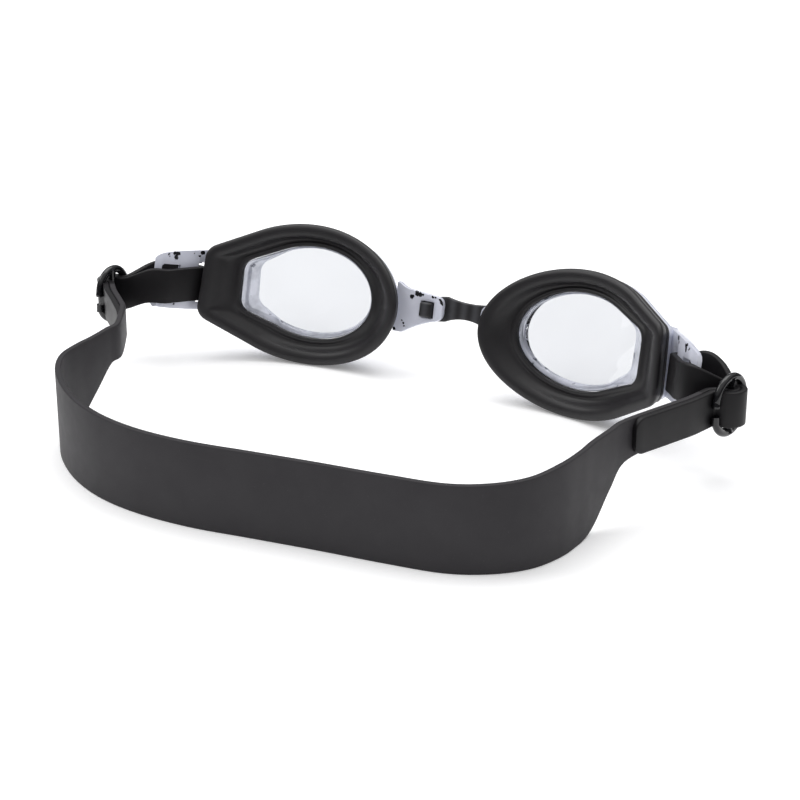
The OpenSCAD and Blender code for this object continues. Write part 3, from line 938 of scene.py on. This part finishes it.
def tube(path, radii, across, segments=14):
    """A round tube along a flat path of (s, z) points; across is its size square to the ring."""
    rings = []
    for i, (s, z) in enumerate(path):
        before, after = path[max(i - 1, 0)], path[min(i + 1, len(path) - 1)]
        along = Vector((after[0] - before[0], after[1] - before[1])).normalized()
        ring = []
        for k in range(segments):
            t = 2 * math.pi * k / segments
            side = radii[i] * math.cos(t)
            ring.append((s + along.y * side, radii[i] * across * math.sin(t), z - along.x * side))
        rings.append(ring)
    return skin(rings)


def ring_path():
    """From the upper side of the gap in the rear rail, over the top, down the front and back up."""
    r = RAIL_S + RING_OUT
    straight = BUCKLE_H / 2 - RING_R - r
    turn = [180 * i / RING_TURN_STEPS for i in range(RING_TURN_STEPS + 1)]
    points = [(-r, z) for z in (GAP_Z[1], GAP_Z[1] + 0.35, GAP_Z[1] + 0.9)]
    points += arc((0, straight), r, [180 - a for a in turn])
    points += [(r, straight * (1 - 2 * i / SIDE_STEPS)) for i in range(1, SIDE_STEPS)]
    points += arc((0, -straight), r, [-a for a in turn])
    points += [(-r, z) for z in (GAP_Z[0] - 0.5, GAP_Z[0] - 0.25, GAP_Z[0])]
    return points


def make_buckle(name, side):
    path = ring_path()
    radii = [RING_R] * len(path)
    for index, k in ((0, 0.45), (1, 1.05), (2, 1.12), (3, 1.05), (-1, 0.45), (-2, 0.95), (-3, 1.12)):
        radii[index] = RING_R * k
    parts = [tube(path, radii, 0.95)]
    reach = BUCKLE_H / 2 - RING_R
    bar = [(0, -reach + 2 * reach * i / BAR_STEPS) for i in range(BAR_STEPS + 1)]
    bar_radii = [BAR_R + 0.5 * max(abs(z) / reach - 0.72, 0) / 0.28 for _, z in bar]
    parts.append(tube(bar, bar_radii, 1))
    heading = HEADINGS[name]
    placed = []
    for points, faces in parts:
        moved = []
        for s, n, z in points:
            spot = Vector(BARS[name]) + ahead(heading, s) - right_of(heading, n)
            moved.append(row((spot.x, spot.y, STRAP_Z + z), side))
        placed.append((moved, faces))
    buckle = joined(name + "_buckle_ring", placed)
    finish_piece(buckle, BUCKLE, [name + "_buckle"], 50)
    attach(buckle, name + "_slide_buckle")


# ---------- floor and light ----------


def make_floor():
    half = 3.0
    floor = raw_object("floor", [(-half, -half, 0), (half, -half, 0), (half, half, 0), (-half, half, 0)],
                       [(0, 1, 2, 3)])
    shader = Shader("pale_floor")
    tone = shader.ramp(shader.noise(0.004, 2), (0.3, (0.93, 0.93, 0.935)), (0.7, (0.95, 0.95, 0.955)))
    shader.set(Base_Color=tone, Roughness=0.9, Specular_IOR_Level=0.0)
    shader.set(Emission_Color=(1, 1, 1, 1), Emission_Strength=0.2)
    floor.data.materials.append(shader.material)


def area_light(name, at, towards, size, power):
    data = bpy.data.lights.new(name, "AREA")
    data.shape = "RECTANGLE"
    data.size, data.size_y = size
    data.energy = power
    light = bpy.data.objects.new(name, data)
    bpy.context.scene.collection.objects.link(light)
    light.location = at
    light.rotation_euler = (Vector(towards) - Vector(at)).to_track_quat("-Z", "Y").to_euler()


def make_light():
    """A white ceiling over a darker horizon, with soft boxes above and behind."""
    world = bpy.data.worlds.new("studio")
    bpy.context.scene.world = world
    world.use_nodes = True
    tree = world.node_tree
    background = tree.nodes["Background"]
    place = tree.nodes.new("ShaderNodeTexCoord")
    split = tree.nodes.new("ShaderNodeSeparateXYZ")
    ramp = tree.nodes.new("ShaderNodeValToRGB")
    tree.links.new(place.outputs["Generated"], split.inputs[0])
    tree.links.new(split.outputs["Z"], ramp.inputs["Fac"])
    tree.links.new(ramp.outputs["Color"], background.inputs["Color"])
    low, high = ramp.color_ramp.elements
    low.position, low.color = 0.3, (0.16, 0.16, 0.17, 1)
    high.position, high.color = 0.75, (1.0, 1.0, 1.0, 1)
    background.inputs["Strength"].default_value = 0.95
    area_light("overhead", (-0.1, 0.25, 0.9), (0, 0, 0), (0.9, 0.7), 5)
    area_light("back_left", (-0.7, -0.25, 0.75), (0, 0, 0.01), (0.5, 0.5), 2.4)


for cup_name, cup_side in SIDES.items():
    make_gasket(cup_name, cup_side)
    make_lens(cup_name, cup_side)
    make_frame(cup_name, cup_side)
    make_buckle(cup_name, cup_side)
make_bridge()
make_strap()
make_floor()
make_light()
bpy.context.scene.view_settings.view_transform = "Standard"
